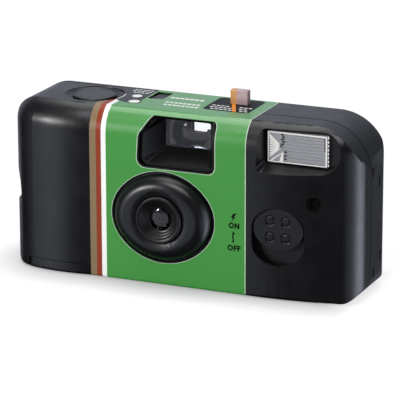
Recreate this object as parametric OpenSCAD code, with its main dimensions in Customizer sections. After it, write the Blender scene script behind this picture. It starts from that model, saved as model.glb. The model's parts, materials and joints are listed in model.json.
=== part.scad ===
// Disposable 35 mm film camera with a built-in flash.
// Millimetres. X runs along the width (flash side positive), -Y is the front, Z is up from the base.

/* [Body] */
// Room above the film cartridge for the wheel, the button's arm and the top
head_room = 6; // [5.6:0.1:8]
// Room in front of and behind the film cartridge
cart_room = 2.5; // [2.4:0.1:4]
// Room between the film cartridge and its end of the body
end_room = 5.7; // [5.4:0.1:8]
// Room from the flash board's near edge to the flash end
flash_bay = 21.4; // [20:0.1:26]
// Wall thickness of the covers
wall = 1.3; // [1.1:0.1:1.4]
// Depth of the front cover behind the flat front, where the covers meet
part_depth = 12.8; // [11:0.2:15]
// Gap along the line where two covers meet
part_gap = 0.12; // [0.08:0.01:0.2]
// Running gap round covers, knobs and windows
clear = 0.15; // [0.1:0.01:0.2]

/* [Rounding] */
// Radius of the rounded shoulder between front and top
shoulder_r = 9; // [8.5:0.1:10]
// Height that the shoulder takes up below the flat top
shoulder_fall = 8; // [7:0.1:8.3]
// Radius of the upper left corner, seen from the front
corner_tl = 10; // [8:0.5:10]
// Radius of the upper right corner, seen from the front
corner_tr = 15.5; // [12:0.5:16]
// Radius of the lower left corner, seen from the front
corner_bl = 6; // [4:0.5:7]
// Radius of the lower right corner, seen from the front
corner_br = 7; // [5:0.5:9]
// Radius of the front left upright edge
edge_fl = 12; // [10:0.5:12.5]
// Radius of the front right upright edge
edge_fr = 7; // [6:0.5:8]
// Radius of the two back upright edges
edge_b = 8; // [5:0.5:9]
// Radius along the back of the top
back_top_r = 3.6; // [3:0.1:4]
// Radius along the bottom edges
bottom_r = 1; // [0.8:0.1:1.6]
// How far the cartridge end bulges in front of the flat front
bulge = 0.8; // [0.4:0.1:1]
// Radius of that bulge, seen from above
bulge_r = 50; // [45:1:60]
// Radius on which the front falls back towards the flash end
sweep_r = 111; // [100:1:130]

/* [Label] */
// Width of the printed band
label_w = 51.7; // [51:0.1:53]
// Distance of the band's middle from the lens axis
label_off = 1.4; // [1:0.05:1.8]
// Thickness of the band
label_t = 0.3; // [0.2:0.05:0.4]

/* [Lens] */
// How far the lens ring stands in front of the flat front
lens_proud = 3.9; // [3.5:0.1:4.3]
// Width of the oval surround
surround_w = 33.2; // [31:0.2:34]
// Gap between the oval surround and the finder window above it
surround_gap = 1.5; // [1.4:0.1:3]
// Height of the surround's mound in front of the flat front
mound_h = 3.2; // [2.6:0.1:3.3]
// Diameter of the lens ring
ring_d = 14.9; // [14:0.1:16]
// Diameter of the opening in front of the lens
lens_open_d = 7.2; // [6.4:0.1:7.6]
// Diameter of the taking lens
lens_d = 8.8; // [8.4:0.1:9.4]
// Thickness of the taking lens at its axis
lens_t = 2.2; // [1.8:0.1:2.4]
// Diameter of the fixed aperture
aperture_d = 3.2; // [2.4:0.1:4]

/* [Viewfinder] */
// Width of the front window
finder_w = 25; // [23:0.2:25.6]
// Distance of the window's middle from the lens axis
finder_off = 4.25; // [3.8:0.05:4.6]
// Height of the deck above the window's lower edge
finder_sill = 4.9; // [4:0.1:5]
// Height of the window's upper edge below the flat top
finder_top = 1.7; // [1.6:0.1:2]
// Depth of the funnel behind the flat front
funnel_depth = 8; // [7:0.2:8.4]
// Width of the funnel's inner end
funnel_w = 14.8; // [13:0.2:15]
// Height of the funnel's inner end
funnel_h = 9; // [8:0.1:9.2]
// Width of the eyepiece window
eyepiece_w = 8; // [6:0.2:9]
// Height of the eyepiece window
eyepiece_h = 4.6; // [4:0.1:5]

/* [Flash] */
// Width of the flash window
flash_w = 18.4; // [17:0.2:18.6]
// Height of the flash window
flash_h = 9; // [8:0.1:9.2]
// Distance of the flash window's middle from the flash end
flash_in = 19.9; // [19.4:0.1:20.2]
// Distance of the flash window's middle below the flat top
flash_fall = 7; // [6.8:0.05:7.2]
// Depth of the flash recess behind the flat front
recess_depth = 4.9; // [4.4:0.1:5]
// Diameter of the flash tube
tube_d = 2.4; // [2:0.1:2.8]

/* [Flash switch] */
// Width of the oval knob
knob_w = 16; // [14:0.2:16.4]
// Height of the oval knob
knob_h = 13; // [12:0.2:13.4]
// Travel of the switch
switch_travel = 4.7; // [4.2:0.1:4.8]
// Distance of the knob's middle from the flash end
knob_in = 25.1; // [24.6:0.1:25.4]
// Height of the knob's middle above the lens axis with the flash on
knob_rise = 0.3; // [0:0.1:0.8]
// Spacing of the four grip rings on the knob
grip_pitch = 5.15; // [4.6:0.05:5.4]
// How far the light guide stands above the top with the flash on
guide_rise = 3.4; // [3:0.1:3.6]
// Width of the light guide
guide_w = 5.7; // [5:0.1:6]
// Depth of the light guide
guide_d = 2.5; // [2:0.1:2.8]

/* [Film] */
// Diameter of the film cartridge
cartridge_d = 25; // [24.6:0.1:25.2]
// How much taller the film cartridge is than the film is wide
cartridge_over = 11.5; // [11:0.1:12]
// Width of the film
film_w = 35; // [34.8:0.1:35]
// Height of the film's lower edge above the base
film_rise = 4.1; // [4.1:0.1:5]
// Thickness of the film
film_t = 0.2; // [0.15:0.01:0.25]
// Width of the picture
frame_w = 36; // [35:0.1:36]
// Width of the film's border above and below the picture
film_border = 5.5; // [5.5:0.1:6]
// Diameter of the film wound for shooting
roll_d = 17.5; // [15:0.1:17.6]
// Spacing of the film's holes
hole_pitch = 4.75; // [4.7:0.01:4.8]
// How much wider the film advance wheel is than the cartridge
wheel_over = 3.2; // [2:0.1:3.2]
// Number of grip notches round the wheel
wheel_notches = 60; // [40:2:72]

/* [Shutter button] */
// Diameter of the button
button_d = 13.2; // [12:0.1:13.6]
// Diameter of the dished ring round the button
moat_d = 18.5; // [17.5:0.1:19]
// Travel of the button
button_travel = 0.7; // [0.5:0.05:0.75]
// Diameter of the frame counter's dial
dial_d = 15; // [14:0.1:15.4]

/* [Power] */
// Diameter of the cell
battery_d = 10.5; // [10:0.1:10.5]
// Length of the cell
battery_h = 44.5; // [44:0.1:44.5]
// Diameter of the flash capacitor
capacitor_d = 9; // [8:0.1:9.2]

/* [Hidden] */
$fn = 64;

// Longer than anything, for cuts that run right through
far = 200;

// Film, and the body round it
film_z = film_rise;
lens_z = film_z + film_w / 2;
frame_h = film_w - 2 * film_border;
cart_r = cartridge_d / 2;
cart_z = wall + 0.2;
cartridge_h = film_w + cartridge_over;
cart_top = cart_z + cartridge_h;
body_h = cart_top + head_room;
body_d = cartridge_d + 2 * wall + cart_room;
roll_r = roll_d / 2;
flange_r = roll_r + 0.7;
flange_t = 0.8;
core_r = 5;
chamber_gap = 0.4;
chamber_wall = 1.1;
cart_gap = 4.85;
roll_off = frame_w / 2 + roll_r + 2.5;
board_off = roll_off + flange_r + chamber_gap + chamber_wall + 0.85;
left_span = frame_w / 2 + cart_gap + cartridge_d + end_room;
right_span = board_off + flash_bay;
body_w = left_span + right_span;
half_w = body_w / 2;
lens_x = left_span - half_w;
back_y = (body_d + lens_proud) / 2;
front_y = back_y - body_d;
part_y = front_y + part_depth;
in_top = body_h - wall;
in_front = front_y + wall;
in_back = back_y - wall;
shoulder_z = body_h - shoulder_fall;

// Tiny step at the upright edges, so that no two faces run into each other without an edge
edge_step = 0.02;

// Rounded front: a bulge over the cartridge, a flat middle and a long sweep to the flash end
bulge_x = -half_w + 20;
bulge_c = [bulge_x, front_y - bulge + bulge_r];
sweep_x = half_w - 32;
sweep_c = [sweep_x, front_y + sweep_r];
fl_x = -half_w + edge_fl;
fl_c = [fl_x, bulge_c.y - sqrt(pow(bulge_r - edge_fl, 2) - pow(fl_x - bulge_x, 2))];
fr_x = half_w - edge_fr;
fr_c = [fr_x, sweep_c.y - sqrt(pow(sweep_r - edge_fr, 2) - pow(fr_x - sweep_x, 2))];

// Printed band
label_x0 = lens_x + label_off - label_w / 2;
label_x1 = lens_x + label_off + label_w / 2;
label_seat = label_t + 0.05;

// Where the front cover's top reaches back to, and how thick that top panel's edge is
top_part_y = back_y - 4.2;
top_part_z = body_h - 4.1;

// Film cartridge, wheel and wound film
cart = [-half_w + end_room + cart_r, in_back - cart_r - 0.3];
wheel_d = cartridge_d + wheel_over;
wheel_z = cart_top + 0.2;
film_y = cart.y + 0.752 * cart_r;
roll = [lens_x + roll_off, film_y - 0.3 - roll_r];
deck_t = 1;
deck_z = film_z + film_w + 1.9;
frame_base = wall + 0.1;
board_y = front_y + 4.6;
board_t = 1.2;
gate_t = 1.4;
gate_y = film_y - gate_t;
lid_y = back_y - 3.4;

// Shutter and film drive
sprocket_pitch_r = 8 * hole_pitch / (2 * PI);
sprocket = [cart.x + cart_r + 7.25, film_y - sprocket_pitch_r];
tooth_z = film_z + film_w - 3.4;
button = [cart.x + 5.8, cart.y - 0.8];
button_r = button_d / 2;
moat_r = moat_d / 2;
moat_fall = 1.1;
collar_t = 0.8;
arm_t = 0.8;
arm_z = in_top - collar_t - arm_t - 0.2;
wheel_t = arm_z - button_travel - 0.2 - wheel_z;
stem = [sprocket.x - 4.25, front_y + 5.6];
stem_z = deck_z + deck_t + 2.2;
lock_t = 0.9;
lock_z = stem_z - 0.3 - lock_t;
lock_pivot_y = stem.y + 6.6;
lock_pin_r = 0.62;
dial = [sprocket.x + 1.55, sprocket.y - 5.75];
dial_r = dial_d / 2;
dial_z = body_h - 3.5;
dial_t = 1;
counter_c = [dial.x + 4.4, dial.y + 6.9];
counter_w = 5.4;
counter_d = 9;
blade_y = front_y + 3.3;
blade_t = 0.4;
blade_pivot = [lens_x - 9, lens_z + 5];
kick_pivot = [lens_x - 16.5, lens_z + 8];
pin_r = 0.9;
pin_gap = 0.08;
blade_hook = [lens_x - 12, lens_z - 3];
kick_hook = [lens_x - 19.5, lens_z + 2];

// Rounding of the mound round the lens
mound_roll = 4.2;

// Heights of the lens in front of the flat front, and of the aperture plate behind it
lens_front = 1.45;
lens_crown = 0.3;
lens_back = lens_front - lens_t - 0.05;
aperture_depth = wall + 1.2;
aperture_back = front_y + aperture_depth + 0.6;

// Viewfinder
finder_x = lens_x + finder_off;
finder_z0 = deck_z + deck_t - finder_sill;
finder_z1 = body_h - finder_top;
funnel_y = front_y + funnel_depth;
funnel_x = finder_x + 0.8;
funnel_z0 = deck_z + deck_t;
hood_t = 0.9;
objective_t = 2;
eyepiece_z = funnel_z0 + 3.2;
eyepiece_y = in_back - 2.2;
eyepiece_rim = 1;
eye_x = funnel_x - 1.1;
tunnel_t = 1;
surround_h = 2 * (finder_z0 - lens_z - surround_gap);

// Flash
flash_x = half_w - flash_in;
flash_z = body_h - flash_fall;
recess_y = front_y + recess_depth;
recess_t = 1.2;
recess_x0 = flash_x - flash_w / 2 - 3.2;
recess_z0 = flash_z - flash_h / 2 - 3.8;
recess_z1 = body_h - 1.1;
recess_r = (recess_z1 - recess_z0) / 2;
recess_x1 = flash_x + 8;
window_lip = 0.8;
window_proud = 1;
reflector_y = recess_y + recess_t + window_lip + clear;
reflector_t = 0.6;
tube_y = reflector_y + 3;

// Flash switch
knob = [half_w - knob_in, lens_z + knob_rise];
knob_y = front_y + 0.7;
slider_y = front_y + 2.9;
slider_t = 1;
tongue_w = 3.4;
tongue_x = recess_x0 - recess_t - 3.6;
guide = [lens_x + 16.7, film_y - 4.3];
guide_top = body_h + guide_rise;
guide_arm_z = deck_z + deck_t + switch_travel + 0.5;
guide_arm_t = 1.6;

// Flash electronics
board = [lens_x + board_off, front_y + 4.2];
board_w = 11.9;
pcb_t = 1;
pcb_z = 4;
pcb_back = board.y + pcb_t;
cell = [half_w - battery_d / 2 - 5.15, in_back - battery_d / 2 - 2.95];
cell_z = 2.2;
contact_t = 0.5;
spot = [half_w - 19.2, knob.y + 8];

function dir(a) = [cos(a), sin(a)];

// Everything outside a circle, between two directions from its centre
module corner_waste(c, r, a0, a1, reach) {
    difference() {
        polygon([c, c + reach * dir(a0), c + 1.6 * reach * dir((a0 + a1) / 2), c + reach * dir(a1)]);
        if (r > 0)
            translate(c) circle(r);
    }
}

// Upright section through the front: bottom edge, flat front, shoulder and top, inset by i
module edge_profile(r, i) {
    difference() {
        translate([0, i]) square([r - i, body_h - 2 * i]);
        corner_waste([r - shoulder_r, shoulder_z], shoulder_r - i, 0, 90, 3 * shoulder_r);
        corner_waste([r - bottom_r, bottom_r], bottom_r - i, -90, 0, 4 * bottom_r);
    }
}

module bulge_form(i) {
    intersection() {
        translate([bulge_c.x, bulge_c.y, 0]) rotate_extrude($fn = 128) edge_profile(bulge_r, i);
        translate([-half_w - 5, -far, -1]) cube([25 + bulge_r * 0.3, far + back_y, body_h + 2]);
    }
}

module middle_form(i) {
    translate([sweep_x, back_y, 0]) rotate([90, 0, -90])
        linear_extrude(sweep_x - bulge_x) edge_profile(back_y - front_y, i);
}

module sweep_form(i) {
    intersection() {
        translate([sweep_c.x, sweep_c.y, 0]) rotate_extrude($fn = 128) edge_profile(sweep_r, i);
        translate([sweep_x, -far, -1]) cube([half_w + 5 - sweep_x, far + back_y, body_h + 2]);
    }
}

// Outline seen from the front
module front_outline(i) {
    difference() {
        translate([-half_w + i, i]) square([body_w - 2 * i, body_h - 2 * i]);
        corner_waste([-half_w + corner_tl, body_h - corner_tl], corner_tl - i, 90, 180, 2 * corner_tl);
        corner_waste([half_w - corner_tr, body_h - corner_tr], corner_tr - i, 0, 90, 2 * corner_tr);
        corner_waste([-half_w + corner_bl, corner_bl], corner_bl - i, 180, 270, 2 * corner_bl);
        corner_waste([half_w - corner_br, corner_br], corner_br - i, 270, 360, 2 * corner_br);
    }
}

// Outline seen from the end, which rounds the back edges
module back_outline(i) {
    difference() {
        translate([-far, i]) square([far + back_y - i, body_h - 2 * i]);
        corner_waste([back_y - back_top_r, body_h - back_top_r], back_top_r - i, 0, 90, 4 * back_top_r);
        corner_waste([back_y - bottom_r, bottom_r], bottom_r - i, 270, 360, 4 * bottom_r);
    }
}

// Waste round a front upright edge, whose top keeps the shoulder
module front_edge_waste(c, r, i, a0, a1) {
    difference() {
        translate([0, 0, -1]) linear_extrude(body_h + 2)
            polygon([c, c + 4 * r * dir(a0), c + 7 * r * dir((a0 + a1) / 2), c + 4 * r * dir(a1)]);
        translate([c.x, c.y, 0]) rotate_extrude() edge_profile(r - edge_step, i);
    }
}

module back_edge_waste(side, i) {
    c = [side * (half_w - edge_b), back_y - edge_b];
    translate([0, 0, -1]) linear_extrude(body_h + 2)
        corner_waste(c, edge_b - i, 45 - 45 * side, 135 - 45 * side, 4 * edge_b);
}

// Waste round an upper back corner, so that the rounded back edge follows the corner's arc
module back_corner_waste(c, r, a0, a1, i) {
    depth = back_y - part_y;
    difference() {
        translate([0, back_y + 1, 0]) rotate([90, 0, 0]) linear_extrude(depth + 1)
            polygon([c, c + 4 * r * dir(a0), c + 7 * r * dir((a0 + a1) / 2), c + 4 * r * dir(a1)]);
        translate([c.x, part_y, c.y]) rotate([-90, 0, 0]) rotate_extrude() difference() {
            translate([0, -1]) square([r - edge_step - i, depth + 1 - i]);
            corner_waste([r - back_top_r, depth - back_top_r], back_top_r - i, 0, 90, 4 * back_top_r);
        }
    }
}

// The whole outer form, inset by i
module envelope(i) {
    difference() {
        intersection() {
            union() {
                bulge_form(i);
                middle_form(i);
                sweep_form(i);
            }
            translate([0, far / 2, 0]) rotate([90, 0, 0]) linear_extrude(far) front_outline(i);
            translate([-far / 2, 0, 0]) rotate([90, 0, 90]) linear_extrude(far) back_outline(i);
        }
        front_edge_waste(fl_c, edge_fl, i, 180, 360 + atan2(fl_c.y - bulge_c.y, fl_c.x - bulge_c.x));
        front_edge_waste(fr_c, edge_fr, i, atan2(fr_c.y - sweep_c.y, fr_c.x - sweep_c.x), 0);
        back_edge_waste(1, i);
        back_edge_waste(-1, i);
        back_corner_waste([half_w - corner_tr, body_h - corner_tr], corner_tr, 0, 90, i);
        back_corner_waste([-half_w + corner_tl, body_h - corner_tl], corner_tl, 90, 180, i);
    }
}

// Radii of a four-arc oval, the size given across and up
function oval_side_r(w, h) = h / 2 * 0.82;
function oval_top_r(w, h) =
    let (a = w / 2, b = h / 2, r = oval_side_r(w, h), e = a - r)
    (e * e + b * b - r * r) / (2 * (b - r));

// Flat oval, inset by i
module oval(w, h, i = 0) {
    a = w / 2;
    b = h / 2;
    r1 = oval_side_r(w, h);
    r2 = oval_top_r(w, h);
    e = a - r1;
    f = r2 - b;
    t = atan2(f, e);
    for (s = [-1, 1]) {
        translate([s * e, 0]) circle(r1 - i);
        intersection() {
            translate([0, -s * f]) circle(r2 - i);
            polygon([[0, -s * f], [0, -s * f] + far * dir(s * t), [0, -s * f] + far * dir(s * (180 - t))]);
        }
    }
}

// Oval prism that stands from y0 to y1, centred on a point of the front
module oval_prism(c, w, h, y0, y1) {
    translate([c.x, y1, c.y]) rotate([90, 0, 0]) linear_extrude(y1 - y0) oval(w, h);
}

// Cylinder along Y
module bar_y(x, z, r, y0, y1) {
    translate([x, y1, z]) rotate([90, 0, 0]) cylinder(r = r, h = y1 - y0);
}

module block(x0, x1, y0, y1, z0, z1) {
    translate([x0, y0, z0]) cube([x1 - x0, y1 - y0, z1 - z0]);
}

// Space that the front cover takes up: all in front of the joint, and the top panel behind it
module front_space(gap) {
    block(-far, far, -far, part_y + gap, -far, far);
    block(-far, label_x1 + gap, -far, top_part_y + gap, top_part_z - gap, far);
}

// Shell of the covers with the seat for the printed band
module cover_shell() {
    difference() {
        envelope(0);
        envelope(wall);
        difference() {
            block(label_x0, label_x1, -far, far, -far, far);
            envelope(label_seat);
        }
    }
}

// Finger notch in the cartridge end
module end_notch(i) {
    d = 1.1;
    x = -half_w;
    translate([0, far / 2, 0]) rotate([90, 0, 0]) linear_extrude(far)
        polygon([[x - 2, 32], [x + i, 31.2], [x + 0.75 * d + i, 27], [x + d + i, 23.5], [x + d + i, 19.9 - i],
            [x - 2, 19.8 - i]]);
}

module notch_backing() {
    block(-half_w + wall - 0.1, -half_w + 2.4, -far, far, 18.4, 33);
}

// Opening of the flash recess, tapered towards its floor
module recess_form(i) {
    hull() {
        recess_end(front_y - 1, i);
        recess_end(front_y - 0.9, i);
        recess_floor(i);
    }
}

module recess_end(y, i) {
    r = recess_r + i;
    bar_y(recess_x1, recess_z1 - recess_r, r, y, y + 0.05, $fn = 48);
    for (z = [recess_z0 + 2, recess_z1 - 2])
        bar_y(recess_x0 + 2, z, 2 + i, y, y + 0.05, $fn = 32);
}

module recess_floor(i) {
    y = recess_y + (i > 0 ? recess_t : 0);
    bar_y(recess_x1 - 0.4, flash_z, flash_h / 2 + 1 + i, y - 0.05, y, $fn = 48);
    for (z = [flash_z - flash_h / 2 + 0.6, flash_z + flash_h / 2 - 0.6])
        bar_y(flash_x - flash_w / 2 - 0.2, z, 1.2 + i, y - 0.05, y, $fn = 32);
}

// Well that the knob slides in
module switch_well(i) {
    hull() for (k = [0, 1])
        oval_prism([knob.x, knob.y - k * switch_travel], knob_w + 2 * i, knob_h + 2 * i, -far, slider_y, $fn = 48);
}

module lid_form(i) {
    x0 = -half_w + 4.5 - i;
    r = 9;
    hinge_room = i > 0 ? wall / 2 : 0;
    difference() {
        block(x0, label_x0 - clear + i, -far, lid_y + hinge_room + i, -1, 3.5 + i);
        translate([0, 0, -2]) linear_extrude(8) corner_waste([x0 + r, front_y + r - 1 - 2 * i], r, 180, 270, 3 * r);
    }
}

module front_cover() color("#2b2c2f") {
    difference() {
        union() {
            intersection() {
                union() {
                    cover_shell();
                    intersection() {
                        envelope(wall);
                        notch_backing();
                    }
                    intersection() {
                        envelope(wall);
                        recess_form(recess_t);
                    }
                }
                front_space(-part_gap / 2);
            }
            translate([button.x, button.y, in_top - collar_t])
                cylinder(r = moat_r + 0.6, h = collar_t + 0.05);
        }
        end_notch(0);
        recess_form(0);
        block(flash_x - flash_w / 2 - clear, flash_x + flash_w / 2 + clear, recess_y - 1, recess_y + 3,
            flash_z - flash_h / 2 - clear, flash_z + flash_h / 2 + clear);
        switch_well(0.25);
        oval_prism([lens_x, lens_z], surround_w + 2 * clear, surround_h + 2 * clear, -far, in_front + 1);
        finder_opening(0);
        translate([spot.x, front_y, spot.y]) rotate([90, 0, 0]) rotate_extrude()
            polygon([[0, -5], [1.6, -5], [1.6, -1.2], [2.6, -0.3], [2.6, 3], [0, 3]]);
        translate([button.x, button.y, body_h]) rotate_extrude()
            polygon([[0, -9], [button_r + 0.3, -9], [button_r + 0.3, -moat_fall], [button_r + 0.6, -moat_fall],
                [moat_r, -0.2], [moat_r, 4], [0, 4]]);
        block(counter_c.x - counter_w / 2, counter_c.x + counter_w / 2, counter_c.y - counter_d / 2,
            counter_c.y + counter_d / 2, in_top - 1, far);
        block(guide.x - guide_w / 2 - 0.3, guide.x + guide_w / 2 + 0.3, guide.y - guide_d / 2 - 0.3,
            guide.y + guide_d / 2 + 0.3, in_top - 1, far);
        lid_form(clear);
    }
}

// Corner circles of the finder window: across, up and radius
function window_corners() =
    let (x0 = finder_x - finder_w / 2, x1 = finder_x + finder_w / 2)
    [[x0 + 2.5, finder_z0 + 2.5, 2.5], [x0 + 2.9, finder_z0 + 8.9, 2.5], [x0 + 4.9, finder_z1 - 1.5, 1.5],
        [x1 - 1.3, finder_z1 - 1.3, 1.3], [x1 - 2, finder_z0 + 2, 2]];

module window_posts(y, i) {
    for (c = window_corners())
        bar_y(c.x, c.y, c[2] + i, y, y + 0.05, $fn = 24);
}

module finder_opening(i) {
    hull() {
        window_posts(front_y - 1, i);
        window_posts(front_y + 6, i);
    }
}

// Funnel from the finder window to its inner end
module funnel(i) {
    r = 0.8;
    hull() {
        window_posts(front_y - 0.5, i);
        for (x = [funnel_x - funnel_w / 2 + r, funnel_x + funnel_w / 2 - r])
            for (z = [funnel_z0 + r, funnel_z0 + funnel_h - r])
                bar_y(x, z, r + i, funnel_y - 0.05, funnel_y, $fn = 24);
    }
}

// Opening for the thumb over the wheel's edge
module wheel_slot() {
    z = wheel_z + wheel_t / 2;
    w = wheel_d * 0.68;
    block(cart.x - w / 2, cart.x + w / 2, in_back - 4, far, wheel_z - 0.35, wheel_z + wheel_t + 0.35);
    translate([cart.x - w / 2, back_y, z]) rotate([0, 90, 0]) linear_extrude(w)
        polygon([[-1.25, -wall], [1.25, -wall], [2.9, 0.3], [-2.9, 0.3]]);
}

// Clip windows in the flash end: depth behind the joint, height
function clip_windows() = [[1.6, 37.5], [7.2, 33.5], [8.6, 10], [3, 5.6]];

module rear_cover() color("#26272a") {
    difference() {
        union() {
            difference() {
                union() {
                    cover_shell();
                    intersection() {
                        envelope(wall);
                        notch_backing();
                    }
                }
                front_space(part_gap / 2);
            }
            // Pressure ribs behind the film
            for (z = [film_z + 1.2, film_z + film_w / 2, film_z + film_w - 1.8])
                block(lens_x - frame_w / 2, lens_x + frame_w / 2, film_y + film_t + 0.15, in_back + 0.1,
                    z - 0.5, z + 0.5);
            // Rim that holds the eyepiece
            difference() {
                eyepiece_block(clear + eyepiece_rim, eyepiece_y - 0.4, in_back + 0.1);
                eyepiece_block(clear, eyepiece_y - 1, in_back + 0.2);
            }
        }
        end_notch(0);
        wheel_slot();
        block(eye_x - eyepiece_w / 2, eye_x + eyepiece_w / 2, in_back - 0.5, far, eyepiece_z - eyepiece_h / 2,
            eyepiece_z + eyepiece_h / 2);
        for (c = clip_windows())
            block(half_w - 3, far, part_y + c.x - 0.5, part_y + c.x + 0.5, c.y, c.y + 3);
        lid_form(clear);
    }
}

module bottom_lid() color("#242528") {
    intersection() {
        difference() {
            envelope(0);
            envelope(wall);
        }
        lid_form(0);
    }
    // Round edge on which the lid turns
    translate([-half_w + 6, lid_y, wall / 2]) rotate([0, 90, 0])
        cylinder(r = wall / 2 - 0.03, h = half_w - 6 + label_x0 - 2);
}

module label() color("#3f9a3f") {
    difference() {
        envelope(0);
        envelope(label_t);
        block(-far, label_x0 + 0.03, -far, far, -far, far);
        block(label_x1 - 0.03, far, -far, far, -far, far);
        oval_prism([lens_x, lens_z], surround_w + 1, surround_h + 1, -far, 0);
        finder_opening(0.35);
        translate([button.x, button.y, body_h / 2]) cylinder(r = moat_r + 0.1, h = body_h);
        block(counter_c.x - counter_w / 2, counter_c.x + counter_w / 2, counter_c.y - counter_d / 2,
            counter_c.y + counter_d / 2, body_h / 2, far);
        block(guide.x - guide_w / 2 - 0.3, guide.x + guide_w / 2 + 0.3, guide.y - guide_d / 2 - 0.3,
            guide.y + guide_d / 2 + 0.3, body_h / 2, far);
        block(eye_x - eyepiece_w / 2 - 0.5, eye_x + eyepiece_w / 2 + 0.5, in_back - 1, far,
            eyepiece_z - eyepiece_h / 2 - 0.5, eyepiece_z + eyepiece_h / 2 + 0.5);
    }
}

// Tapered light box between the lens board and the film gate
module light_box(i) {
    hull() {
        block(lens_x - 6 - i, lens_x + 6 + i, board_y, board_y + 0.05, lens_z - 5 - i, lens_z + 5 + i);
        block(lens_x - frame_w / 2 - i, lens_x + frame_w / 2 + i, film_y - 0.05, film_y, lens_z - frame_h / 2 - i,
            lens_z + frame_h / 2 + i);
    }
}

// Half of a round chamber, open to the back
module chamber(c, r, z0, z1) {
    difference() {
        translate([c.x, c.y, z0]) cylinder(r = r + chamber_wall, h = z1 - z0);
        translate([c.x, c.y, z0 - 1]) cylinder(r = r, h = z1 - z0 + 2);
        block(-far, far, c.y - 2, far, -far, far);
    }
}

module tunnel_wall(side) {
    x0 = funnel_x + side * (funnel_w / 2 + 1.1);
    x1 = eye_x + side * (eyepiece_w / 2 + 1.6);
    y0 = funnel_y + 0.3;
    y1 = film_y + 0.3;
    translate([0, 0, deck_z]) linear_extrude(deck_t + 9.4)
        polygon([[x0, y0], [x1, y1], [x1 + side * tunnel_t, y1], [x0 + side * tunnel_t, y0]]);
}

// Pins on the lens board: across, up, reach in front of the board
function board_pins() = [[blade_pivot.x, blade_pivot.y, board_y - blade_y + 0.15],
    [kick_pivot.x, kick_pivot.y, 0.85], [blade_hook.x, blade_hook.y, 0.7], [kick_hook.x, kick_hook.y, 0.7]];

module main_frame() color("#3a3b3f") {
    board_x0 = lens_x - frame_w / 2 - 5.2;
    board_x1 = lens_x + frame_w / 2 + 3.2;
    difference() {
        union() {
            // Lens board, floor, deck and film gate
            block(board_x0, board_x1, board_y, board_y + board_t, frame_base, finder_z0 - hood_t - 0.3);
            block(board_x0, roll.x + flange_r, board_y, film_y, frame_base, frame_base + deck_t);
            block(board_x0, roll.x + flange_r, funnel_y + 0.2, film_y, deck_z, deck_z + deck_t);
            block(board_x0, lens_x + frame_w / 2 + 1.6, gate_y, film_y, frame_base, deck_z + 0.1);
            light_box(0.9);
            chamber(cart, cart_r + chamber_gap, frame_base + 0.6, deck_z + deck_t);
            chamber(roll, flange_r + chamber_gap, frame_base, recess_z0 - recess_t - 0.5);
            tunnel_wall(-1);
            tunnel_wall(1);
            // Bearing under the deck for the sprocket shaft
            translate([sprocket.x, sprocket.y, deck_z - 2.4]) cylinder(r = 3.4, h = 2.4 + deck_t);
            // Post for the counter dial
            translate([dial.x, dial.y, deck_z]) cylinder(r = 1, h = dial_z - 0.3 - deck_z);
            // Ears for the lock lever
            for (s = [-1, 1])
                translate([stem.x + s * 2.25 - 0.65, lock_pivot_y - 1.2, deck_z])
                    cube([1.3, 2.4, lock_z + lock_t + 0.8 - deck_z]);
            // Posts behind the aperture plate, and pins
            for (s = [-1, 1])
                bar_y(lens_x + s * 6.6, lens_z - 3.4, 1, aperture_back + 0.05, board_y + 0.1);
            for (p = board_pins())
                bar_y(p.x, p.y, pin_r, board_y - p[2], board_y + 0.1);
        }
        light_box(0);
        block(lens_x - frame_w / 2, lens_x + frame_w / 2, film_y - 0.5, far, lens_z - frame_h / 2,
            lens_z + frame_h / 2);
        bar_y(lens_x, lens_z, 4.6, -far, board_y + 2);
        translate([cart.x, cart.y, 0]) cylinder(r = cart_r + chamber_gap, h = far);
        translate([roll.x, roll.y, frame_base + deck_t]) cylinder(r = flange_r + chamber_gap, h = deck_z - frame_base - deck_t);
        translate([roll.x, roll.y, 0]) cylinder(r = 1.5 + pin_gap, h = far);
        translate([sprocket.x, sprocket.y, deck_z - 5]) cylinder(r = 2 + pin_gap, h = 9);
        // Room for the switch's slider
        block(tongue_x - 0.4, far, -far, slider_y + slider_t + 0.3, -far, far);
        // Room for the sprocket in the film gate
        translate([sprocket.x, sprocket.y, tooth_z - 1.1]) cylinder(r = 7.4, h = deck_z - 2.4 - tooth_z + 1);
        translate([stem.x - 5, lock_pivot_y, lock_z + lock_t / 2]) rotate([0, 90, 0])
            cylinder(r = lock_pin_r + pin_gap, h = 10);
    }
}

// Oval mound round the lens: a rim in the cover and a rounded rise to a flat face
module mound() {
    rim = 0.5;
    translate([0, 0, -wall - 0.1]) linear_extrude(wall - 0.9) oval(surround_w, surround_h);
    hull() for (a = [0:15:90])
        translate([0, 0, mound_h - mound_roll + mound_roll * sin(a) - 0.02]) linear_extrude(0.02)
            oval(surround_w, surround_h, rim + mound_roll * (1 - cos(a)), $fn = 96);
}

module lens_surround() color("#2e2f32") {
    difference() {
        union() {
            translate([lens_x, front_y, lens_z]) rotate([90, 0, 0]) mound();
            oval_prism([lens_x, lens_z], surround_w + 2, surround_h + 1.8, in_front + 0.1, in_front + 1.1);
        }
        bar_y(lens_x, lens_z, ring_d / 2 + clear, -far, far);
        translate([lens_x, front_y - mound_h + 0.5, lens_z]) rotate([90, 0, 0])
            cylinder(r1 = ring_d / 2 + clear, r2 = ring_d / 2 + 2, h = 0.5);
    }
}

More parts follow.
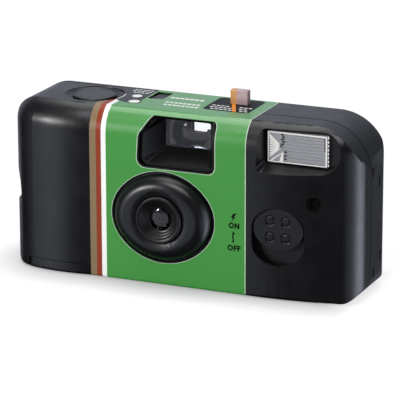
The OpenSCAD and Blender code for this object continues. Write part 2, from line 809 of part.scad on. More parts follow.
// Ring round the lens, with stepped baffles down to the opening
module lens_retainer() color("#232427") {
    r = ring_d / 2;
    o = lens_open_d / 2;
    top = lens_proud;
    step = (r - 0.9 - o) / 4;
    translate([lens_x, front_y, lens_z]) rotate([90, 0, 0]) rotate_extrude() difference() {
        translate([0, -wall - 1.05]) square([r, top + wall + 1.05]);
        corner_waste([r - 0.5, top - 0.5], 0.5, 0, 90, 2);
        polygon([[0, lens_front], [o, lens_front], [o, lens_front + 0.35], [o + step, lens_front + 0.6],
            [o + step, lens_front + 0.95], [o + 2 * step, lens_front + 1.2], [o + 2 * step, lens_front + 1.5],
            [o + 3 * step, lens_front + 1.75], [o + 3 * step, lens_front + 2.05], [r - 0.6, top + 0.05],
            [0, top + 0.05]]);
        translate([0, -far]) square([lens_d / 2 + 0.08, far + lens_front]);
    }
}

module taking_lens() color("#b9c6d6") {
    r = lens_d / 2;
    front_r = 9;
    back_r = 16;
    translate([lens_x, front_y, lens_z]) rotate([90, 0, 0]) rotate_extrude() intersection() {
        translate([0, lens_front - lens_t]) square([r, lens_t - 0.04]);
        translate([0, lens_front + lens_crown - front_r]) circle(front_r, $fn = 240);
        translate([0, lens_front - lens_t - 0.02 + back_r]) circle(back_r, $fn = 240);
    }
}

module aperture_plate() color("#1c1d1f") {
    translate([lens_x, front_y, lens_z]) rotate([90, 0, 0]) rotate_extrude() difference() {
        union() {
            translate([0, -aperture_depth - 0.6]) square([ring_d / 2 + 0.9, 0.6]);
            translate([0, -aperture_depth - 0.1]) square([lens_d / 2 - 0.05, aperture_depth + lens_back + 0.05]);
        }
        polygon([[0, -far], [aperture_d / 2 + 1, -aperture_depth - 1], [aperture_d / 2, -aperture_depth + 0.6],
            [aperture_d / 2, lens_back - 0.5], [aperture_d / 2 + 0.8, lens_back + 1], [0, lens_back + 1]]);
    }
}

// Flat link in the plane of the shutter
module link(from, to, w) {
    d = to - from;
    translate(from) rotate(atan2(d.y, d.x)) translate([0, -w / 2]) square([norm(d), w]);
}

module shutter_plate(y, t) {
    translate([0, y + t, 0]) rotate([90, 0, 0]) linear_extrude(t) children();
}

module shutter_blade() color("#55575b") {
    c = [lens_x, lens_z];
    shutter_plate(blade_y, blade_t) difference() {
        union() {
            translate(c) circle(aperture_d / 2 + 1.2);
            translate(blade_pivot) circle(2);
            link(blade_pivot, c, 2.4);
            link(blade_pivot, blade_pivot + [-3.4, 1.6], 2);
        }
        translate(blade_pivot) circle(pin_r + pin_gap);
    }
}

module kick_lever() color("#6a6c70") {
    shutter_plate(board_y - 0.75, 0.5) difference() {
        union() {
            translate(kick_pivot) circle(2);
            link(kick_pivot, kick_pivot + [4.6, -1.4], 1.8);
            link(kick_pivot, kick_pivot + [-1.2, 6], 1.8);
        }
        translate(kick_pivot) circle(pin_r + pin_gap);
    }
}

// Hairpin spring: a loop round its pin and two legs
module hairpin(c, a0, a1, leg) {
    wire_r = 0.2;
    loop_r = pin_r + 0.1 + wire_r;
    y = board_y - 0.4;
    translate([c.x, y, c.y]) rotate([90, 0, 0]) {
        rotate_extrude() translate([loop_r, 0]) circle(wire_r, $fn = 16);
        for (a = [a0, a1])
            rotate(a) translate([loop_r, 0, 0]) rotate([0, 90, 35]) cylinder(r = 0.8 * wire_r, h = leg, $fn = 16);
    }
}

module blade_spring() color("#b9bcc0") hairpin(blade_hook, 40, 200, 4);

module kick_spring() color("#b9bcc0") hairpin(kick_hook, 60, 250, 3.4);

module lock_lever() color("#7b7d82") {
    w = 2.4;
    block(stem.x - w / 2, stem.x + w / 2, stem.y - 1.6, lock_pivot_y + 4.6, lock_z, lock_z + lock_t);
    translate([stem.x - 2.9, lock_pivot_y, lock_z + lock_t / 2]) rotate([0, 90, 0]) cylinder(r = lock_pin_r, h = 5.8);
}

// Toothed drum that the film turns, with its cam. Its teeth stop just short of the film, which is drawn still.
module sprocket_shaft() color("#d8d4c8") {
    tip_r = sprocket_pitch_r - 0.12;
    translate([sprocket.x, sprocket.y, 0]) {
        translate([0, 0, tooth_z - 0.95]) cylinder(r = tip_r - 1, h = 3);
        translate([0, 0, tooth_z]) cylinder(r = 2, h = dial_z - 0.7 - tooth_z);
        for (k = [0:7])
            rotate(45 * k) translate([-0.7, 0, tooth_z - 0.8]) cube([1.4, tip_r - 0.05, 1.6]);
        difference() {
            translate([0, 0, stem_z + 0.9]) cylinder(r = 3, h = 1.2);
            translate([-1, -4, stem_z]) cube([2, 1.9, 4]);
        }
    }
}

module counter_dial() color("#ecebe6") {
    translate([dial.x, dial.y, 0]) difference() {
        union() {
            translate([0, 0, dial_z]) linear_extrude(dial_t) difference() {
                circle(dial_r);
                for (k = [0:35])
                    rotate(10 * k) translate([dial_r + 0.25, 0]) circle(0.5, $fn = 16);
            }
            translate([0, 0, deck_z + deck_t + 0.1]) cylinder(r = 2.2, h = dial_z - deck_z - deck_t);
        }
        cylinder(r = 1 + pin_gap, h = dial_z - 0.1);
    }
}

module counter_window() color("#c9d2d6") {
    block(counter_c.x - counter_w / 2 + clear, counter_c.x + counter_w / 2 - clear,
        counter_c.y - counter_d / 2 + clear, counter_c.y + counter_d / 2 - clear, in_top - 0.1, body_h - 0.45);
    block(counter_c.x - counter_w / 2 - 0.7, counter_c.x + counter_w / 2 + 0.7, counter_c.y - counter_d / 2 - 0.7,
        counter_c.y + counter_d / 2 + 0.7, in_top - 0.05 - 0.5, in_top - 0.05);
}

module thumbwheel() color("#2a2b2e") {
    translate([cart.x, cart.y, wheel_z]) {
        linear_extrude(wheel_t) difference() {
            circle(wheel_d / 2);
            for (k = [0:wheel_notches - 1])
                rotate(360 * k / wheel_notches) translate([wheel_d / 2 + 0.2, 0]) circle(0.6, $fn = 16);
        }
        translate([-2.6, -0.55, cart_top - wheel_z - 2.5]) cube([5.2, 1.1, wheel_z + 2.6 - cart_top]);
    }
}

module cartridge_shell() color("#4c8f4a") {
    r = cart_r - 0.4;
    lip_z0 = film_z - 1;
    lip_z1 = film_z + film_w + 1;
    translate([cart.x, cart.y, 0]) difference() {
        union() {
            translate([0, 0, cart_z + 1.05]) cylinder(r = r, h = cartridge_h - 2.1);
            translate([5, 8.4, lip_z0]) cube([6, 2.2, lip_z1 - lip_z0]);
        }
        translate([0, 0, cart_z]) cylinder(r = r - 0.5, h = cartridge_h);
        translate([4, film_y - cart.y - 0.25, lip_z0 + 0.6]) cube([9, film_t + 0.5, lip_z1 - lip_z0 - 1.2]);
    }
}

module cartridge_caps() color("#9a9c9e") {
    for (z = [cart_z, cart_top - 1])
        translate([cart.x, cart.y, z]) difference() {
            cylinder(r = cart_r, h = 1);
            translate([0, 0, -1]) cylinder(r = 4, h = 3);
        }
}

module cartridge_spool() color("#1d1e20") {
    translate([cart.x, cart.y, 0]) difference() {
        union() {
            translate([0, 0, cart_z + 1.3]) cylinder(r = 5.3, h = cartridge_h - 2.6);
            translate([0, 0, cart_z + 0.2]) cylinder(r = 3.8, h = cartridge_h - 0.3);
            for (z = [cart_z + 1.3, cart_top - 2.1])
                translate([0, 0, z]) cylinder(r = 10.8, h = 0.8);
        }
        translate([-2.8, -0.75, cart_top - 2.8]) cube([5.6, 1.5, 4]);
    }
}

module film_strip() color("#5a4632") {
    x0 = cart.x + 8.8;
    x1 = roll.x - 2;
    n0 = ceil((x0 + 2 - sprocket.x) / hole_pitch);
    n1 = floor((x1 - 2 - sprocket.x) / hole_pitch);
    difference() {
        block(x0, x1, film_y, film_y + film_t, film_z, film_z + film_w);
        for (k = [n0:n1])
            for (z = [film_z + 3.4, film_z + film_w - 3.4])
                translate([sprocket.x + k * hole_pitch - 1, film_y - 1, z - 1.4]) cube([2, 3, 2.8]);
    }
}

module film_roll() color("#4a3a2c") {
    translate([roll.x, roll.y, film_z]) difference() {
        cylinder(r = roll_r, h = film_w);
        translate([0, 0, -1]) cylinder(r = core_r + 0.05, h = film_w + 2);
    }
}

module supply_spool() color("#1f2022") {
    z0 = film_z - 0.4 - flange_t;
    z1 = film_z + film_w + 0.4;
    translate([roll.x, roll.y, 0]) {
        translate([0, 0, z0]) cylinder(r = core_r, h = z1 - z0);
        translate([0, 0, z0]) cylinder(r = flange_r, h = flange_t);
        translate([0, 0, z1]) cylinder(r = flange_r, h = flange_t);
        translate([0, 0, frame_base + 0.1]) cylinder(r = 1.5, h = deck_z + deck_t - frame_base - 0.2);
    }
}

module viewfinder_hood() color("#1e1f21") {
    difference() {
        intersection() {
            funnel(hood_t);
            envelope(wall + 0.06);
        }
        funnel(0);
        block(-far, far, funnel_y - 0.06, far, -far, far);
    }
}

module finder_front_lens() color("#cfd8e2") {
    y = funnel_y + 0.1;
    dish_r = 16;
    difference() {
        block(funnel_x - funnel_w / 2 - 0.4, funnel_x + funnel_w / 2 + 0.4, y, y + objective_t, funnel_z0 + 0.05,
            funnel_z0 + funnel_h + 0.6);
        translate([funnel_x, y + 0.8 + dish_r, funnel_z0 + funnel_h / 2]) sphere(dish_r, $fn = 128);
    }
}

module eyepiece_block(i, y0, y1) {
    w = eyepiece_w / 2 + 0.8 + i;
    h = eyepiece_h / 2 + 0.7 + i;
    block(eye_x - w, eye_x + w, y0, y1, eyepiece_z - h, eyepiece_z + h);
}

module eyepiece_lens() color("#cfd8e2") {
    bulb_r = 18;
    intersection() {
        eyepiece_block(0, eyepiece_y, in_back - 0.1);
        translate([eye_x, eyepiece_y + bulb_r, eyepiece_z]) sphere(bulb_r, $fn = 200);
    }
}

module flash_window() color("#dfe5ea") {
    y0 = recess_y - window_proud;
    y1 = recess_y + recess_t;
    flutes = 9;
    pitch = flash_h / flutes;
    difference() {
        block(flash_x - flash_w / 2, flash_x + flash_w / 2, y0, y1 + 0.1, flash_z - flash_h / 2, flash_z + flash_h / 2);
        for (k = [1:flutes - 1])
            translate([flash_x - flash_w / 2 + 4.4, y0 - 0.2, flash_z - flash_h / 2 + k * pitch]) rotate([0, 90, 0])
                cylinder(r = 0.42, h = flash_w - 5.6, $fn = 16);
    }
    block(flash_x - flash_w / 2 - 0.7, flash_x + flash_w / 2 + 0.7, y1 + 0.05, y1 + window_lip,
        flash_z - flash_h / 2 - 0.7, flash_z + flash_h / 2);
}

module flash_reflector() color("#c3c7cc") {
    w = flash_w / 2 - 0.2;
    r = flash_h / 2 - 0.2;
    c = reflector_y + 1;
    difference() {
        union() {
            translate([flash_x - w, c, flash_z]) rotate([0, 90, 0]) cylinder(r = r + reflector_t, h = 2 * w);
            block(flash_x - w, flash_x + w, reflector_y, c, flash_z - r - reflector_t, flash_z + r + reflector_t);
        }
        translate([flash_x - w + reflector_t, c, flash_z]) rotate([0, 90, 0])
            cylinder(r = r, h = 2 * w - 2 * reflector_t);
        block(flash_x - w + reflector_t, flash_x + w - reflector_t, reflector_y - 9, c, flash_z - r, flash_z + r);
        block(-far, far, -far, reflector_y, -far, far);
        translate([-far, tube_y, flash_z]) rotate([0, 90, 0]) cylinder(r = tube_d / 2 + clear, h = 2 * far);
    }
}

module flash_tube() color("#d7e6ee") {
    w = flash_w / 2 + 1.2;
    translate([flash_x - w, tube_y, flash_z]) rotate([0, 90, 0]) {
        cylinder(r = tube_d / 2, h = 2 * w);
        translate([0, 0, -1.2]) cylinder(r = 0.5, h = 2 * w + 2.4);
    }
}

module flash_board() color("#2f6b3c") {
    difference() {
        block(board.x, board.x + board_w, board.y, board.y + pcb_t, pcb_z, recess_z0 - 1.9);
        bar_y(board.x + 2, pcb_z + 2, 0.8, -far, far);
    }
}

module capacitor() color("#3b3c40") {
    translate([board.x + capacitor_d / 2 - 0.6, pcb_back + capacitor_d / 2 + 0.1, pcb_z + 1.5])
        cylinder(r = capacitor_d / 2, h = recess_z0 - recess_t - pcb_z - 4.5);
}

module transformer() color("#c9a24a") {
    x = board.x + capacitor_d + 0.5;
    block(x, x + 6.4, pcb_back, pcb_back + 6, pcb_z + 18, pcb_z + 19);
    block(x, x + 6.4, pcb_back, pcb_back + 6, pcb_z + 26, pcb_z + 27);
    block(x + 0.6, x + 5.8, pcb_back + 0.6, pcb_back + 5.4, pcb_z + 18.5, pcb_z + 26.5);
}

module pilot_lamp() color("#e8a070") {
    translate([guide.x + 3.8, guide.y - 3.8, deck_z + deck_t]) {
        cylinder(r = 1.5, h = 3.4);
        translate([0, 0, 3.4]) sphere(1.5);
    }
}

module battery() color("#b98a3c") {
    translate([cell.x, cell.y, cell_z]) {
        cylinder(r = battery_d / 2, h = battery_h - 1);
        cylinder(r = 1.9, h = battery_h);
    }
}

module battery_contacts() color("#c9c9c6") {
    for (z = [cell_z - 0.1 - contact_t, cell_z + battery_h + 0.1])
        block(cell.x - 3.4, cell.x + 3.4, cell.y - 3.4, cell.y + 3.4, z, z + contact_t);
}

module sync_contact() color("#c8a860") {
    x0 = lens_x + frame_w / 2 + 4;
    block(x0, board.x, board.y + 0.1, board.y + 0.5, pcb_z + 28.5, pcb_z + 30.5);
    block(x0, x0 + 0.5, board.y + 0.1, board.y + 0.5, pcb_z + 22, pcb_z + 30.5);
}

module switch_knob() color("#2c2d30") {
    difference() {
        oval_prism(knob, knob_w, knob_h, knob_y, slider_y);
        for (sx = [-1, 1])
            for (sz = [-1, 1])
                translate([knob.x + sx * grip_pitch / 2, knob_y, knob.y + sz * grip_pitch / 2]) rotate([90, 0, 0])
                    rotate_extrude() translate([1.35, 0]) circle(0.4, $fn = 24);
    }
    for (sx = [-1, 1])
        for (sz = [-1, 1])
            bar_y(knob.x + sx * grip_pitch / 2, knob.y + sz * grip_pitch / 2, 0.55, knob_y - 0.25, knob_y + 0.3);
}

module slider_plate() color("#2a2b2d") {
    cover = 0.8;
    w = knob_w / 2 + 1.4;
    z0 = knob.y - knob_h / 2 - switch_travel - cover;
    z1 = knob.y + knob_h / 2 + switch_travel + cover;
    arm_top = guide_arm_z + guide_arm_t;
    block(knob.x - w, knob.x + w, slider_y, slider_y + slider_t, z0, z1);
    block(tongue_x, tongue_x + tongue_w, slider_y, slider_y + slider_t, knob.y - 2, arm_top);
    block(tongue_x, knob.x - w + 0.5, slider_y, slider_y + slider_t, knob.y - 2, knob.y + 6);
    block(tongue_x, tongue_x + tongue_w, slider_y, guide.y + guide_d / 2, guide_arm_z, arm_top);
    block(guide.x - guide_w / 2, tongue_x + tongue_w, guide.y - guide_d / 2, guide.y + guide_d / 2, guide_arm_z,
        arm_top);
}

module switch_contact() color("#c8a860") {
    block(board.x + 1.4, board.x + 7.4, slider_y + slider_t + 0.06, board.y, pcb_z + 8, pcb_z + 11);
}

module light_guide() color("#f0b090") {
    block(guide.x - guide_w / 2, guide.x + guide_w / 2, guide.y - guide_d / 2, guide.y + guide_d / 2,
        guide_arm_z + guide_arm_t, guide_top);
}

module shutter_button() color("#2f3033") {
    reach = stem - button;
    translate([button.x, button.y, 0]) {
        rotate_extrude() difference() {
            translate([0, body_h - 1.5]) square([button_r, 1.35]);
            corner_waste([button_r - 0.5, body_h - 0.65], 0.5, 0, 90, 2);
        }
        translate([0, 0, arm_z]) cylinder(r = 4, h = body_h - 1.4 - arm_z);
        translate([0, 0, arm_z]) linear_extrude(arm_t) link([0, 0], reach, 3);
    }
    translate([stem.x, stem.y, stem_z]) cylinder(r = 1.2, h = arm_z + arm_t - stem_z);
}

front_cover();
rear_cover();
bottom_lid();
label();
main_frame();
lens_surround();
lens_retainer();
taking_lens();
aperture_plate();
shutter_blade();
blade_spring();
kick_lever();
kick_spring();
lock_lever();
sprocket_shaft();
counter_dial();
counter_window();
thumbwheel();
cartridge_shell();
cartridge_caps();
cartridge_spool();
film_strip();
film_roll();
supply_spool();
viewfinder_hood();
finder_front_lens();
eyepiece_lens();
flash_window();
flash_reflector();
flash_tube();
flash_board();
capacitor();
transformer();
pilot_lamp();
battery();
battery_contacts();
sync_contact();
switch_knob();
slider_plate();
switch_contact();
light_guide();
shutter_button();
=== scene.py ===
import json
import math

import bmesh
import bpy
from mathutils import Matrix, Vector
from mathutils.bvhtree import BVHTree


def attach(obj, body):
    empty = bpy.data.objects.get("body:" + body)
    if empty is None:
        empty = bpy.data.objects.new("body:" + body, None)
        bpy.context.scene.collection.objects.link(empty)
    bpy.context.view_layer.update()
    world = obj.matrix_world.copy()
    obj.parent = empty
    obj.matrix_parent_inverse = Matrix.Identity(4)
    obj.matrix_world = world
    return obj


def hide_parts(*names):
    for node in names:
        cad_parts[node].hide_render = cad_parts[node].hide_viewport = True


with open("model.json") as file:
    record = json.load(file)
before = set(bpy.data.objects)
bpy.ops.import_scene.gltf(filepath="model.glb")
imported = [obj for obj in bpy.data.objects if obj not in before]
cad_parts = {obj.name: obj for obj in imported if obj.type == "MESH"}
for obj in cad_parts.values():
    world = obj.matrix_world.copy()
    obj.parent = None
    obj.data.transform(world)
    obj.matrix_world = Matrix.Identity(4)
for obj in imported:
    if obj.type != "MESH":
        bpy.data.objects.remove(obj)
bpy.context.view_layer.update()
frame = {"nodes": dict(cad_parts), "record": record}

NODES = frame["nodes"]
BODY_OF = {n: b for b, names in frame["record"]["behaviour"]["bodies"].items() for n in names}
MM = 0.001

# Places in the part, in millimetres
FRONT_Y = -13.1  # flat front of the printed band
HALF_W, HALF_H = 58, 27  # covers' outline, seen from the front
SHOULDER = (-4.1, 46)  # y and z of the centre of the round edge between front and top
RIMS = (-0.36, 12.74)  # y of the front cover's outer rim, on its two levels
OLD_HOLE, HOLE = (38.8, 29.9), (44.1, 30.7)  # x and z of the small hole, in the part and in the photograph
HOLE_R = 2.4
NOTCH = [(-14, 32), (-12, 31.2), (-11.2, 27), (-10.9, 23.5), (-10.9, 19.9), (-14, 19.8)]  # from NOTCH_AXIS
NOTCH_AXIS, NOTCH_TURN = (-46, -1.05, 0), 23
GUIDE_SPLIT = 11.5  # x where the light guide changes colour
GUIDE_TOP, GUIDE_RISE = 57, 1.0  # points of the light guide over this height go up by the rise
STRIPES = (-26.75, -25.0, -23.4)  # x between gold, orange, white and green
DARK = (-17.6, 6.5, 50.2)  # corner of the band's dark part behind the button
BUTTON, BUTTON_EDGE = (-34.0, 2.1), 9.7  # centre of the button, and how near to it the print comes

# Lowest and highest place of the print, along the way it looks
FIELD_Z, SIGN_Z = (53.97, 54.03), (54.0, 54.05)
SIGN_Y = (FRONT_Y - 0.03, FRONT_Y + 0.05)
FLASH_Y = (-9.27, -9.12)


# Materials

def new_material(name):
    m = bpy.data.materials.new(name)
    m.use_nodes = True
    t = m.node_tree
    t.nodes.clear()
    out = t.nodes.new("ShaderNodeOutputMaterial")
    p = t.nodes.new("ShaderNodeBsdfPrincipled")
    t.links.new(p.outputs[0], out.inputs[0])
    return m, t, p


def noise(t, scale, detail=2.0, stretch=None):
    c = t.nodes.new("ShaderNodeTexCoord")
    n = t.nodes.new("ShaderNodeTexNoise")
    n.inputs["Scale"].default_value = scale
    n.inputs["Detail"].default_value = detail
    if stretch:
        k = t.nodes.new("ShaderNodeMapping")
        k.inputs["Scale"].default_value = stretch
        t.links.new(c.outputs["Object"], k.inputs["Vector"])
        t.links.new(k.outputs[0], n.inputs["Vector"])
    else:
        t.links.new(c.outputs["Object"], n.inputs["Vector"])
    return n.outputs["Fac"]


def spread(t, fac, low, high, a=0.3, b=0.7, kind="LINEAR"):
    """Maps a to b onto low to high."""
    r = t.nodes.new("ShaderNodeMapRange")
    r.interpolation_type = kind
    r.inputs["From Min"].default_value = a
    r.inputs["From Max"].default_value = b
    r.inputs["To Min"].default_value = low
    r.inputs["To Max"].default_value = high
    t.links.new(fac, r.inputs["Value"])
    return r.outputs["Result"]


def mottle(t, p, colour, fac, amount):
    mix = t.nodes.new("ShaderNodeMix")
    mix.data_type = "RGBA"
    mix.inputs[6].default_value = (*[c * (1 - amount) for c in colour], 1)
    mix.inputs[7].default_value = (*[min(1, c * (1 + amount)) for c in colour], 1)
    t.links.new(fac, mix.inputs[0])
    t.links.new(mix.outputs[2], p.inputs["Base Color"])


def bump(t, p, fac, strength, depth):
    b = t.nodes.new("ShaderNodeBump")
    b.inputs["Strength"].default_value = strength
    b.inputs["Distance"].default_value = depth * MM
    t.links.new(fac, b.inputs["Height"])
    t.links.new(b.outputs[0], p.inputs["Normal"])


def plastic(name, colour, rough, grain=0.22, strength=0.25, spec=0.5, coat=0.0, amount=0.1):
    m, t, p = new_material(name)
    mottle(t, p, colour, noise(t, 90, 3), amount)
    t.links.new(spread(t, noise(t, 160, 4), rough - 0.05, rough + 0.05), p.inputs["Roughness"])
    bump(t, p, noise(t, 1 / (grain * MM), 2), strength, 0.03)
    p.inputs["Specular IOR Level"].default_value = spec
    if coat:
        p.inputs["Coat Weight"].default_value = coat
        p.inputs["Coat Roughness"].default_value = 0.12
    return m


def lacquer(mat, ior, rough):
    """Glossy coat on the faces that look up."""
    t = mat.node_tree
    p = next(n for n in t.nodes if n.type == "BSDF_PRINCIPLED")
    geo, axes = t.nodes.new("ShaderNodeNewGeometry"), t.nodes.new("ShaderNodeSeparateXYZ")
    t.links.new(geo.outputs["Normal"], axes.inputs[0])
    t.links.new(spread(t, axes.outputs["Z"], 0.0, 1.0, 0.0, 0.7, "SMOOTHSTEP"), p.inputs["Coat Weight"])
    p.inputs["Coat IOR"].default_value = ior
    p.inputs["Coat Roughness"].default_value = rough


def metal(name, colour, rough, stretch=(1, 1, 30), amount=0.08):
    m, t, p = new_material(name)
    p.inputs["Metallic"].default_value = 1
    line = noise(t, 300, 3, stretch)
    mottle(t, p, colour, line, amount)
    t.links.new(spread(t, line, rough - 0.06, rough + 0.08), p.inputs["Roughness"])
    bump(t, p, line, 0.12, 0.02)
    return m


def clear(name, colour, rough=0.04, ior=1.49, ripple=0.03, spec=0.5):
    m, t, p = new_material(name)
    p.inputs["Transmission Weight"].default_value = 1
    p.inputs["IOR"].default_value = ior
    p.inputs["Specular IOR Level"].default_value = spec
    mottle(t, p, colour, noise(t, 120, 2), 0.02)
    t.links.new(spread(t, noise(t, 200, 2), rough * 0.6, rough * 1.4), p.inputs["Roughness"])
    bump(t, p, noise(t, 260, 1), ripple, 0.02)
    return m


def milky(name, colour, rough, through):
    m, t, p = new_material(name)
    mottle(t, p, colour, noise(t, 260, 3), 0.06)
    p.inputs["Transmission Weight"].default_value = through
    p.inputs["IOR"].default_value = 1.49
    t.links.new(spread(t, noise(t, 300, 2), rough - 0.05, rough + 0.05), p.inputs["Roughness"])
    bump(t, p, noise(t, 400, 2), 0.05, 0.02)
    return m


# Covers, moving outer parts and the inside of the camera
charcoal = plastic("charcoal_plastic", (0.0052, 0.0054, 0.0063), 0.33, 0.2, 0.3, 0.5)
matt = plastic("matt_black", (0.0035, 0.0035, 0.004), 0.75, 0.3, 0.2, 0.2)
black = plastic("black_plastic", (0.0055, 0.0056, 0.0062), 0.36, 0.25, 0.2, 0.4)
hood_black = plastic("hood_black", (0.0028, 0.0028, 0.003), 0.42, 0.3, 0.12, 0.3)
white = plastic("white_plastic", (0.78, 0.775, 0.75), 0.45, 0.3, 0.12, 0.45, 0.0, 0.03)
tin = plastic("printed_tin", (0.13, 0.3, 0.15), 0.3, 0.6, 0.06, 0.6, 0.4)
base_film = plastic("film_base", (0.1, 0.062, 0.04), 0.18, 0.6, 0.05, 0.6, 0.3)
mask = plastic("board_green", (0.03, 0.16, 0.06), 0.3, 0.5, 0.1, 0.5, 0.2, 0.2)
sleeve = plastic("sleeve_black", (0.02, 0.02, 0.026), 0.28, 0.6, 0.06, 0.5, 0.2)
jacket = plastic("cell_jacket", (0.42, 0.24, 0.06), 0.26, 0.6, 0.05, 0.6, 0.4)
steel = metal("spring_steel", (0.62, 0.63, 0.65), 0.28)
dark_steel = metal("dark_steel", (0.012, 0.012, 0.014), 0.55)
cap = metal("tin_cap", (0.55, 0.56, 0.58), 0.34, (1, 1, 6))
mirror = metal("mirror_metal", (0.86, 0.87, 0.88), 0.14, (8, 1, 1), 0.03)
copper = metal("copper", (0.72, 0.4, 0.16), 0.34, (1, 1, 40), 0.2)
brass = metal("contact_brass", (0.78, 0.6, 0.28), 0.28)

# Printed band
green = plastic("label_green", (0.05, 0.275, 0.046), 0.38, 0.5, 0.04, 0.28, 0.0, 0.02)
lacquer(green, 1.65, 0.3)
gold = plastic("label_gold", (0.225, 0.152, 0.078), 0.38, 0.5, 0.04, 0.3, 0.0, 0.03)
orange = plastic("label_orange", (0.265, 0.031, 0.006), 0.38, 0.5, 0.04, 0.3, 0.0, 0.02)
paper = plastic("label_white", (0.86, 0.86, 0.84), 0.32, 0.5, 0.05, 0.45, 0.2, 0.03)
rim_pale = plastic("label_cut_edge", (0.55, 0.68, 0.53), 0.4, 0.5, 0.05, 0.4, 0.0, 0.05)
# Near-black print, also used for the black aperture plate and as painted shade in the small hole and along the
# covers' parting line
deep_ink_and_shade = plastic("print_deep_and_painted_shade", (0.0015, 0.0015, 0.0015), 0.6, 0.35, 0.04, 0.08)
ink = plastic("print_black", (0.009, 0.009, 0.0105), 0.34, 0.35, 0.06, 0.45)
print_dark = plastic("print_dark", (0.004, 0.004, 0.0052), 0.5, 0.35, 0.04, 0.2)
# Orange of the light guide's painted reflection on the panel
mark = plastic("painted_reflection_orange", (0.75, 0.24, 0.03), 0.4, 0.35, 0.04, 0.3, 0.0, 0.03)

# Clear and milky parts
glass = clear("clear_plastic", (0.97, 0.975, 0.98))
# Painted shade: grey tint that darkens the view into the lens, for the shade inside it
lens_glass = clear("lens_glass", (0.3, 0.31, 0.33), 0.015, 1.52, 0.0, 0.45)
finder_glass = clear("finder_glass", (1.0, 1.0, 1.0), 0.01, 1.49, 0.0, 0.15)
dial_glass = clear("dial_glass", (0.9, 0.91, 0.92), 0.05, 1.2, 0.03, 0.12)
flash_clear = milky("flash_clear", (0.46, 0.47, 0.5), 0.16, 0.4)
amber = milky("amber_clear", (0.68, 0.51, 0.54), 0.2, 0.4)
glow = milky("guide_orange", (0.88, 0.47, 0.18), 0.2, 0.35)


# Pieces

def linked(ob):
    bpy.context.scene.collection.objects.link(ob)
    return ob


def to_mesh(bm, name):
    me = bpy.data.meshes.new(name)
    bm.to_mesh(me)
    bm.free()
    return me


def closed_mesh(bm, name):
    bmesh.ops.recalc_face_normals(bm, faces=bm.faces)
    return to_mesh(bm, name)


def evaluated_mesh(ob):
    bpy.context.view_layer.update()
    return bpy.data.meshes.new_from_object(ob.evaluated_get(bpy.context.evaluated_depsgraph_get()))


def finish_piece(name, me, body, slot, *mats):
    ob = bpy.data.objects.new(name, me)
    me.name = name
    for m in mats:
        me.materials.append(m)
    linked(ob)
    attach(ob, body)
    return ob


def shade(me, angle):
    me.shade_smooth()
    me.set_sharp_from_angle(angle=math.radians(angle))


def soften(ob, width):
    """Bevels the sharp edges by a width, if there is one, and evens the normals."""
    if width:
        b = ob.modifiers.new("edge", "BEVEL")
        b.width = width * MM
        b.segments = 2
        b.limit_method = "ANGLE"
        b.angle_limit = math.radians(38)
        b.use_clamp_overlap = True
        b.miter_outer = "MITER_ARC"
    w = ob.modifiers.new("normals", "WEIGHTED_NORMAL")
    w.keep_sharp = True


def welded(node, flat=0.4):
    """The node's mesh with shared points, and with facets joined that differ by less than the angle."""
    bm = bmesh.new()
    bm.from_mesh(NODES[node].data)
    bmesh.ops.remove_doubles(bm, verts=bm.verts, dist=3e-6)
    bmesh.ops.dissolve_limit(bm, angle_limit=math.radians(flat), verts=bm.verts, edges=bm.edges)
    return bm


def stand_in(node, me, slot, bevel, angle, *mats):
    """Piece that takes the node's place."""
    shade(me, angle)
    ob = finish_piece(node + "_form", me, BODY_OF[node], slot, *mats)
    soften(ob, bevel)
    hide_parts(node)


def dress(node, slot, mat, bevel=0.0, angle=32, flat=0.4):
    stand_in(node, to_mesh(welded(node, flat), node + "_form"), slot, bevel, angle, mat)


def paint(node, mat):
    ob = NODES[node]
    ob.data.materials.clear()
    ob.data.materials.append(mat)


def split(bm, place, way):
    """Cuts the faces along a plane through a place in millimetres."""
    bmesh.ops.bisect_plane(bm, geom=bm.verts[:] + bm.edges[:] + bm.faces[:],
                           plane_co=Vector(place) * MM, plane_no=way, dist=1e-7)


def plate(name, outlines, level, mat, slot="label_film", up="z"):
    """Thin shapes: outlines in millimetres, raised between two levels along the up direction."""
    bm = bmesh.new()
    for outline in outlines:
        n = len(outline)
        low, high = ([bm.verts.new(Vector((u, v, h) if up == "z" else (u, h, v)) * MM) for u, v in outline]
                     for h in level)
        bm.faces.new(high)
        bm.faces.new(list(reversed(low)))
        for i in range(n):
            bm.faces.new((low[i], low[(i + 1) % n], high[(i + 1) % n], high[i]))
    finish_piece(name, closed_mesh(bm, name), "camera_body", slot, mat)


def rounded(x0, x1, y0, y1, r, n=6):
    pts = []
    for cx, cy, a0 in ((x1 - r, y0 + r, -90), (x1 - r, y1 - r, 0), (x0 + r, y1 - r, 90), (x0 + r, y0 + r, 180)):
        for k in range(n + 1):
            a = math.radians(a0 + 90 * k / n)
            pts.append((cx + r * math.cos(a), cy + r * math.sin(a)))
    return pts


def ring(cx, cy, rx, ry, n=32):
    turns = [2 * math.pi * k / n for k in range(n)]
    return [(cx + rx * math.cos(a), cy + ry * math.sin(a)) for a in turns]


def bar(x0, x1, y0, y1):
    return [(x0, y0), (x1, y0), (x1, y1), (x0, y1)]


def ray(a, b, wide):
    """Slim wedge from a to b."""
    d = Vector((b[0] - a[0], b[1] - a[1])).normalized() * wide / 2
    return [(a[0] + d.y / 3, a[1] - d.x / 3), (b[0] + d.y, b[1] - d.x),
            (b[0] - d.y, b[1] + d.x), (a[0] - d.y / 3, a[1] + d.x / 3)]


